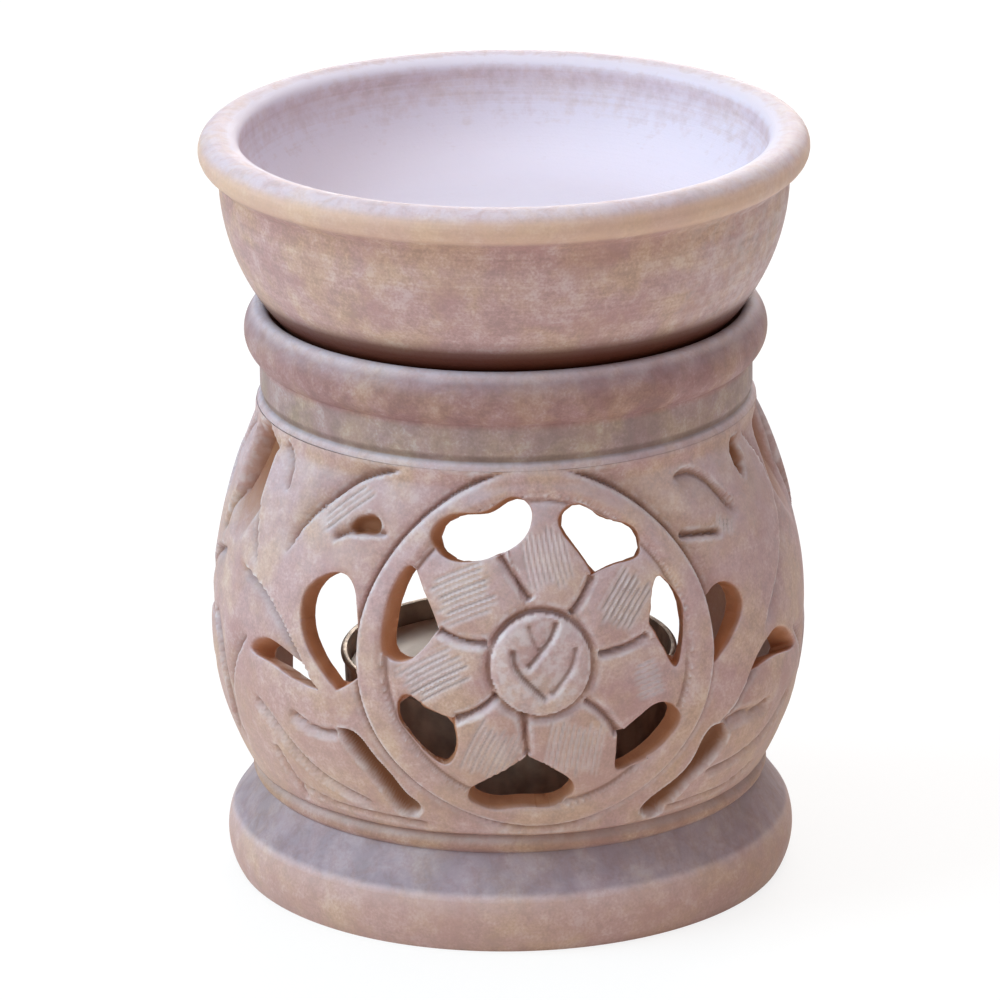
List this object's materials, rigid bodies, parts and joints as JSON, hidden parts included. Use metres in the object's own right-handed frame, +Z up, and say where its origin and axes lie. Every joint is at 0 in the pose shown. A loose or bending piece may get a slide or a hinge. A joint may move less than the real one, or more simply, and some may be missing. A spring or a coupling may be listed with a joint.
{
  "type": "essential oil burner",
  "caption": "Round carved stone oil burner: a pierced body shields a tealight and a loose shallow bowl rests in its collar.",
  "frame": {"origin": "centre of the foot's flat base, on the surface that the burner stands on", "axes": "+Z up along the turning axis, -Y towards the carved flower, +Y towards the arch for the tealight"},
  "size_m": [0.0694, 0.0694, 0.0876],
  "materials": {
    "body_stone": "hand carved soapstone, matt with a pale lavender dust on faces that look up",
    "bowl_stone": "turned soapstone, satin, faint lathe lines",
    "cup_metal": "bright pressed foil",
    "wax": "smooth paraffin wax, slightly glossy",
    "wick": "waxed cotton braid",
    "sustainer_metal": "tinned steel"
  },
  "bodies": {
    "body": {"burner_body": "body_stone"},
    "bowl": {"oil_bowl": "bowl_stone"},
    "tealight": {"tealight_cup": "cup_metal", "tealight_wax": "wax", "tealight_wick": "wick", "wick_sustainer": "sustainer_metal"}
  },
  "joints": [
    {"name": "bowl_lift", "type": "slide", "parent": "body", "child": "bowl", "axis": [0, 0, 1], "range_m": [0, 0.045]},
    {"name": "tealight_slide", "type": "slide", "parent": "body", "child": "tealight", "axis": [0, 1, 0], "range_m": [0, 0.06]}
  ]
}
